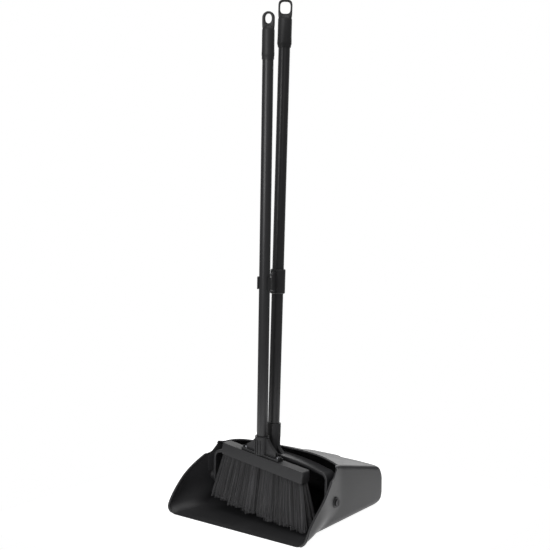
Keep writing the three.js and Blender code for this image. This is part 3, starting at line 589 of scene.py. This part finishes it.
# Middle line of the band, from one arm's round end over the arch to the other: the arch
# falls with the square of the place across, and quarter rounds join it to the arms.
def bandLine():
    half, corner = yoke["half"] - yoke["thick"] / 2, yoke["corner"] - yoke["thick"] / 2
    flat = half - corner
    archTop = yoke["shoulder"] + yoke["arch"] - yoke["thick"] / 2
    top = lambda x: archTop - yoke["arch"] * (x / flat) ** 2
    end = -yoke["armEnd"] + 0.15
    arm = np.concatenate([end + 15 * (1 - np.cos(np.linspace(0, np.pi / 2, 12)[:-1])),
                          np.linspace(0, top(flat) - corner, 14)])
    turn = np.linspace(0, np.pi / 2, 12)[1:]
    x = np.concatenate([np.full(len(arm), half), flat + corner * np.cos(turn)])
    z = np.concatenate([arm, top(flat) - corner * (1 - np.sin(turn))])
    across = np.linspace(flat, 0, 26)[1:]
    x, z = np.concatenate([x, across]), np.concatenate([z, top(across)])
    right = np.stack([x, z], -1)
    return np.concatenate([right, right[:-1][::-1] * [-1, 1]])


def yokeParts():
    line = bandLine()
    path = np.stack([line[:, 0], np.full(len(line), yoke["offset"]), line[:, 1] - yoke["seat"]], -1)
    along = np.gradient(path, axis=0)
    along /= np.linalg.norm(along, axis=1, keepdims=True)
    back = np.tile([0.0, 1.0, 0.0], (len(path), 1))
    out = np.cross(along, back)
    ends = np.sqrt(np.clip(1 - (np.minimum(line[:, 1], 0) / yoke["armEnd"]) ** 2, 0.004, 1))
    section = roundSection(np.full(len(path), yoke["thick"] / 2), yoke["wide"] / 2 * ends, 9, 36)
    foot = yoke["shoulder"] + yoke["arch"] - yoke["thick"] - yoke["seat"]
    rim = yoke["socketTop"] - yoke["seat"]
    profile = [[0, foot + 1], [yoke["socketRadius"], foot + 1], [yoke["socketRadius"], rim - 1.1],
               [yoke["socketRadius"] - 0.3, rim - 0.35], [yoke["socketRadius"] - 1, rim],
               [yoke["bore"] + 0.3, rim], [yoke["bore"], rim - 0.5], [yoke["bore"], rim - 8],
               [0, rim - 8]]
    return [gridPart(panHandle.out(sweep(path, out, back, section)), roundM=True, capN=True),
            gridPart(panHandle.out(lathe(profile, 56)), roundN=True),
            gridPart(panHandle.out(gusset(foot)), roundM=True, capN=True)]


# Gusset: level sections whose half width falls from the foot to the top, as a power of the
# way still to go up.
def gusset(foot):
    level = np.linspace(0, 1, 22)
    overlap = 0.6
    wide = yoke["socketRadius"] - overlap
    wide = wide + (yoke["gussetReach"] + overlap) * (1 - level) ** yoke["gussetPower"]
    section = roundSection(wide, np.full(len(level), yoke["gussetThick"] / 2), 7, 40)
    lift = np.repeat((foot + yoke["gussetHeight"] * level)[:, None], section.shape[1], 1)
    return np.concatenate([section, lift[..., None]], -1)


yokePiece = makePiece("yokeBand", yokeParts(), finishes["yoke_plastic"], "handle", ["yoke"],
                      40)
print("yoke made")

tubes = {"handle": {"radius": 11, "wall": 0.9}, "broom": {"radius": 10.3, "wall": 0.8}}


# Open tube: a ring profile with softened ends, turned about its axis.
def tubeShell(placed, radius, wall):
    profile = softened([[radius - wall, 0], [radius, 0], [radius, placed.length],
                        [radius - wall, placed.length]], 0.2)
    return placed.out(lathe(np.vstack([profile, profile[:1]]), 72))


for body, placed in (("handle", panHandle), ("broom", broomHandle)):
    shell = tubeShell(placed, tubes[body]["radius"], tubes[body]["wall"])
    makePiece(f"{body}Tube", [gridPart(shell, roundN=True)], finishes["coated_tube"], body,
              [f"{body}_tube"])

grips = {
    "handle": {"tube": 11, "base": -74, "radius": 13.1, "flare": 13.5, "start": 835.5, "bodyEnd": 893,
               "top": 923.5, "topLength": 12, "square": 2.8, "holeWidth": 19, "holeHeight": 22,
               "holeSquare": 3.2, "holeMiddle": 908.2, "thick": 9, "turn": 35},
    "broom": {"tube": 10.3, "base": -128, "radius": 11.4, "flare": 11.7, "start": 854.5, "bodyEnd": 913,
              "top": 939.5, "topLength": 11.4, "square": 2, "holeWidth": 11.5, "holeHeight": 17,
              "holeSquare": 2.2, "holeMiddle": 926.8, "thick": 8, "turn": 37},
}


# Grip: a turned body with a chamfered foot and a round shoulder, and a hang loop whose
# section is carried round from the hole's outline to the outer one.
def gripParts(placed, grip):
    base, start, end = grip["base"], grip["start"], grip["bodyEnd"]
    radius, flare = grip["radius"], grip["flare"]
    profile = [[grip["tube"] + 0.3, start + 6], [grip["tube"] + 0.3, start + 0.6],
               [grip["tube"] + 0.7, start], [grip["tube"] + 1.0, start + 0.2],
               [flare - 0.5, start + 5.2], [flare, start + 6.4], [flare, start + 10.5],
               [radius + 0.1, start + 17], [radius, start + 22], [radius, end - 7],
               [radius - 0.5, end - 4.6], [radius - 1.6, end - 2.2], [radius - 3.4, end - 0.3],
               [radius - 6, end + 0.9], [0, end + 1.2], [0, start + 6]]
    shell = lathe(profile, 64)
    angle = np.linspace(0, 2 * np.pi, 72, endpoint=False)
    c, s = np.cos(angle), np.sin(angle)
    power = np.where(s > 0, grip["square"], 5.0)
    outerMiddle = grip["top"] - grip["topLength"]
    lower = outerMiddle - (end - 9)
    outer = np.stack([radius * np.sign(c) * np.abs(c) ** (2 / power),
                      outerMiddle + np.where(s > 0, grip["topLength"], lower)
                      * np.sign(s) * np.abs(s) ** (2 / power)], -1)
    square = grip["holeSquare"]
    holeX = grip["holeWidth"] / 2 * np.sign(c) * np.abs(c) ** (2 / square)
    holeZ = grip["holeMiddle"] + grip["holeHeight"] / 2 * np.sign(s) * np.abs(s) ** (2 / square)
    hole = np.stack([holeX, holeZ], -1)
    section = roundSection(np.array([0.5]), np.array([grip["thick"] / 2]), 3.4, 24)[0]
    share, across = section[:, 0] + 0.5, section[:, 1]
    ring = hole[:, None] + (outer - hole)[:, None] * share[None, :, None]
    loop = np.stack([ring[..., 0], np.repeat(across[None], len(angle), 0), ring[..., 1]], -1)
    turn = math.radians(grip["turn"])
    spun = []
    for part in (shell, loop):
        x = part[..., 0] * math.cos(turn) - part[..., 1] * math.sin(turn)
        y = part[..., 0] * math.sin(turn) + part[..., 1] * math.cos(turn)
        spun.append(placed.out(np.stack([x, y, part[..., 2] + base], -1)))
    return [gridPart(spun[0], roundN=True), gridPart(spun[1], roundN=True, roundM=True)]


for body, placed in (("handle", panHandle), ("broom", broomHandle)):
    makePiece(f"{body}Grip", gripParts(placed, grips[body]), finishes["grip_plastic"], body,
              [f"{body}_grip"], 40)
print("tubes and grips made")


# A merged copy of a node, with its flat triangles joined up and its edges rounded.
def softCopy(name, node, body, width, angle=32):
    source = frame["nodes"][node].data
    points = pointsOf(source)
    faces = [list(p.vertices) for p in source.polygons]
    piece = makePiece(name, [(points, faces, np.zeros(len(points)))], finishes[slotOf[node]], body,
                      [node], angle)
    work = bmesh.new()
    work.from_mesh(piece.data)
    bmesh.ops.remove_doubles(work, verts=work.verts, dist=2e-5)
    bmesh.ops.dissolve_limit(work, angle_limit=math.radians(1.5), verts=work.verts, edges=work.edges)
    work.to_mesh(piece.data)
    work.free()
    piece.data.set_sharp_from_angle(angle=math.radians(angle))
    addBevel(piece, width, 2, angle)
    return piece


softCopy("tubeClip", "clip", "handle", 0.6)
softCopy("broomCap", "broom_cap", "broom", 0.6)
softCopy("broomBlock", "broom_block", "broom", 1.0)
print("clip, cap and block softened")

broom = {
    "blockLength": 206, "blockShift": 8, "blockDepth": 24, "blockFoot": 97, "blockTop": 119,
    "seat": 128, "slant": 4.1, "lean": 1.17, "rows": 3, "margin": 3, "splay": 0.24,
    "rearSplay": 0.20, "drift": 0.16, "bow": 5, "forward": 0.26, "back": 0.07,
    "split": 2.4, "splitPlace": -4,
}
tufts = {"pitch": 6.4, "strands": 58, "spread": 3.0, "radius": 0.52, "segments": 5, "seed": 11,
         "wander": 1.7, "core": 1.5, "coreShort": 9, "trim": 0.07, "tuftTrim": 0.06,
         "splitInset": 1.3, "endInset": 0.9, "flatten": 0.95, "lean": 0.6, "swing": 0.7,
         "taper": 0.45, "tone": 0.42, "toneSpread": 0.13, "rootPaintedShade": -0.22, "tipFade": 0.20}
bristleHalf = broom["blockLength"] / 2 - broom["margin"]
bristleTop = broom["blockFoot"] - 0.3
wholeSlant = math.radians(broom["slant"] + broom["lean"])
bristleEnd = broom["blockShift"] + bristleHalf + (broom["splay"] + broom["drift"]) * bristleTop * 0.9
bristleFall = bristleTop - broom["blockTop"] + (
    broom["blockTop"] - bristleEnd * math.sin(wholeSlant)) / math.cos(wholeSlant)


# The head's own frame into the pan's: a slant about the block's top, then the tube's frame.
def headOut(points):
    slant = math.radians(broom["slant"])
    up = points[..., 2] - broom["blockTop"]
    x = points[..., 0] * math.cos(slant) + up * math.sin(slant)
    z = broom["blockTop"] - points[..., 0] * math.sin(slant) + up * math.cos(slant)
    return broomHandle.out(np.stack([x, points[..., 1], z - broom["seat"]], -1))


# Where a bristle rooted at (x, y) has got to after falling a share of its length: sideways
# by its splay and the common drift, forwards or back by its place in the head, and lower
# in the middle of the head by the bow.
def bristlePlace(x, y, share):
    half = (broom["blockDepth"] - 3) / 2
    depthShare = (y + half) / (2 * half)
    fall = (bristleFall + broom["bow"] * (1 - (x / bristleHalf) ** 2)) * share
    splay = mix(broom["splay"], broom["rearSplay"], depthShare) * x / bristleHalf
    lean = mix(-broom["forward"], broom["back"], depthShare)
    across = x + (splay + broom["drift"]) * fall + broom["blockShift"]
    return np.stack([across, y + lean * fall, bristleTop - fall + 0 * across], -1)


# One row on one side: round tufts in line, each a bunch of three-sided strands that taper
# and open towards the tips, over a near-black core, painted shade, that closes the row.
def strandRow(row, side, seed):
    draws = np.random.default_rng(seed)
    depth = (broom["blockDepth"] - 3) / broom["rows"]
    middle = -depth * broom["rows"] / 2 + (row + 0.5) * depth
    inner = broom["splitPlace"] + side * (broom["split"] / 2 + tufts["spread"] * tufts["splitInset"])
    outer = side * (bristleHalf - tufts["spread"] * tufts["endInset"])
    count = int(round(abs(outer - inner) / tufts["pitch"])) + 1
    centre = np.repeat(np.linspace(inner, outer, count), tufts["strands"])
    tuftTone = np.repeat(draws.normal(0, 1, count), tufts["strands"])
    tuftLean = np.repeat(draws.normal(0, tufts["lean"], (count, 2)), tufts["strands"], 0)
    tuftShort = np.repeat(draws.uniform(0, 1, count), tufts["strands"]) * tufts["tuftTrim"]
    total = len(centre)
    angle = draws.uniform(0, 2 * np.pi, total)
    ray = np.sqrt(draws.uniform(0, 1, total))
    offset = np.stack([np.cos(angle), np.sin(angle)], -1) * ray[:, None] * tufts["spread"]
    share = np.linspace(0, 1, tufts["segments"] + 1)
    short = tuftShort + tufts["trim"] * draws.uniform(0, 1, total) ** 2
    trimmed = share[None] * (1 - short)[:, None]
    rootX, rootY = centre + offset[:, 0], middle + offset[:, 1] * tufts["flatten"]
    path = bristlePlace(rootX[:, None], rootY[:, None], trimmed)
    wander = draws.normal(0, 1, (total, 2)) * tufts["wander"] * 0.6 + tuftLean * tufts["wander"]
    swing = draws.normal(0, tufts["swing"], (total, 2))
    path[..., :2] += wander[:, None] * share[None, :, None] ** 2
    path[..., :2] += swing[:, None] * np.sin(np.pi * share)[None, :, None]
    taper = tufts["radius"] * (1 - tufts["taper"] * share ** 2)
    around = np.arange(3) * 2 * np.pi / 3 + 0.4
    ring = np.stack([np.cos(around), np.sin(around), np.zeros(3)], -1)
    points = path[:, :, None] + ring[None, None] * taper[None, :, None, None]
    tone = tufts["tone"] + tufts["toneSpread"] * tuftTone + draws.normal(0, tufts["toneSpread"], total)
    # Painted shade darkens each strand towards its root, under the block; the tips grow paler as split
    # ends.
    fade = mix(tufts["rootPaintedShade"], tufts["tipFade"], share ** 0.8)
    shade = np.clip(tone[:, None, None] + fade[None, :, None] + np.zeros(3)[None, None], 0, 1)
    perStrand = 3 * len(share)
    sides = gridFaces(len(share), 3, roundM=True)
    ends = np.array([[2, 1, 0], [perStrand - 3, perStrand - 2, perStrand - 1]])
    start = (np.arange(total) * perStrand)[:, None, None]
    quads = (sides[None] + start).reshape(-1, 4).tolist()
    caps = (ends[None] + start).reshape(-1, 3).tolist()
    return headOut(points).reshape(-1, 3), quads + caps, shade.ravel()


# Core of a row: a block that follows the same fan, set in from its faces and tips, left at tone 0 as
# painted shade between the packed strands.
def paintedShadeCore(row, side):
    depth = (broom["blockDepth"] - 3) / broom["rows"]
    front = -depth * broom["rows"] / 2 + row * depth + tufts["core"]
    back = front + depth - 2 * tufts["core"]
    inner = broom["splitPlace"] + side * (broom["split"] / 2 + tufts["core"])
    x = np.linspace(inner, side * (bristleHalf - tufts["core"]), 12)
    loopX = np.concatenate([x, x[::-1]])
    loopY = np.concatenate([np.full(12, front), np.full(12, back)])
    share = np.linspace(0, 1 - tufts["coreShort"] / bristleFall, 8)
    return headOut(bristlePlace(loopX[None], loopY[None], share[:, None]))


rootPoint, footPoint = headOut(np.array([[broom["blockShift"], 0, bristleTop],
                                         [broom["blockShift"], 0, 0]], float))
bristleAxis = (rootPoint - footPoint) / np.linalg.norm(rootPoint - footPoint)
bristleAnchor = (rootPoint + rowShift) * 0.001
for row, rowName in enumerate(["front", "middle", "rear"]):
    for side, sideName in ((-1, "left"), (1, "right")):
        seed = tufts["seed"] + 2 * row + (side > 0)
        piece = makePiece(
            f"bristles{rowName.title()}{sideName.title()}",
            [strandRow(row, side, seed), gridPart(paintedShadeCore(row, side), roundM=True, capN=True)],
            finishes["bristle"], "broom", [f"bristles_{rowName}_{sideName}"], 70)
        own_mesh(piece)
print("bristles made")

shot = {"target": (22.4, 100.0, 465.8), "azimuth": 36.83, "pitch": 6.99, "distance": 2035,
        "lens": 71.93, "sensor": 36}
stage = {"sky": 0.20, "floorTone": 0.60, "floorGlow": 0.92, "floorHalf": 0.42}
lamps = {
    "keyLight": {"place": (2.3, -1.6, 1.9), "size": (1.2, 1.8), "power": 3},
    "fillLight": {"place": (0.2, -3.0, 1.3), "size": (1.6, 2.0), "power": 44},
    "backLight": {"place": (-2.0, 2.9, 1.1), "size": (5.0, 2.2), "power": 52},
    "topLight": {"place": (0.2, 0.4, 2.8), "size": (2.0, 2.0), "power": 22},
}


# A small pale floor, and a world that is white to the camera and dim to everything else.
def makeStage():
    floor = bpy.data.meshes.new("studioFloor")
    half = stage["floorHalf"]
    corners = [(-half, -half, 0), (half, -half, 0), (half, half, 0), (-half, half, 0)]
    floor.from_pydata(corners, [], [(0, 1, 2, 3)])
    piece = bpy.data.objects.new("studioFloor", floor)
    bpy.context.scene.collection.objects.link(piece)
    f = Finish("studioFloorPaper")
    tone = stage["floorTone"]
    floor.materials.append(f.done(Base_Color=(tone, tone, tone, 1), Roughness=0.95,
                                  Emission_Color=(1, 1, 1, 1), Emission_Strength=stage["floorGlow"]))
    world = bpy.data.worlds.new("studioWorld")
    world.use_nodes = True
    nodes, links = world.node_tree.nodes, world.node_tree.links
    seen = nodes.new("ShaderNodeLightPath")
    strength = nodes.new("ShaderNodeMix")
    strength.inputs[2].default_value, strength.inputs[3].default_value = stage["sky"], 1.0
    links.new(seen.outputs["Is Camera Ray"], strength.inputs[0])
    links.new(strength.outputs[0], nodes["Background"].inputs[1])
    nodes["Background"].inputs[0].default_value = (1, 1, 1, 1)
    bpy.context.scene.world = world


# Area light that faces a point of the object, unseen by the camera.
def addLight(name, place, size, power, aim=(0, 0, 0.3)):
    data = bpy.data.lights.new(name, "AREA")
    data.shape, data.size, data.size_y, data.energy = "RECTANGLE", size[0], size[1], power
    lamp = bpy.data.objects.new(name, data)
    lamp.location = place
    lamp.rotation_euler = (Vector(aim) - Vector(place)).to_track_quat("-Z", "Y").to_euler()
    lamp.visible_camera = False
    bpy.context.scene.collection.objects.link(lamp)


makeStage()
for name, lamp in lamps.items():
    addLight(name, **lamp)

azimuth, pitch = math.radians(shot["azimuth"]), math.radians(shot["pitch"])
target = (np.array(shot["target"]) + rowShift) * 0.001
away = np.array([math.sin(azimuth) * math.cos(pitch), -math.cos(azimuth) * math.cos(pitch),
                 math.sin(pitch)])
cameraData = bpy.data.cameras.new("studioCamera")
cameraData.lens, cameraData.sensor_width = shot["lens"], shot["sensor"]
camera = bpy.data.objects.new("studioCamera", cameraData)
camera.location = target + away * shot["distance"] * 0.001
camera.rotation_euler = Vector(-away).to_track_quat("-Z", "Y").to_euler()
bpy.context.scene.collection.objects.link(camera)
bpy.context.scene.camera = camera
bpy.context.scene.view_settings.view_transform = "Standard"
print("stage, light and camera set")
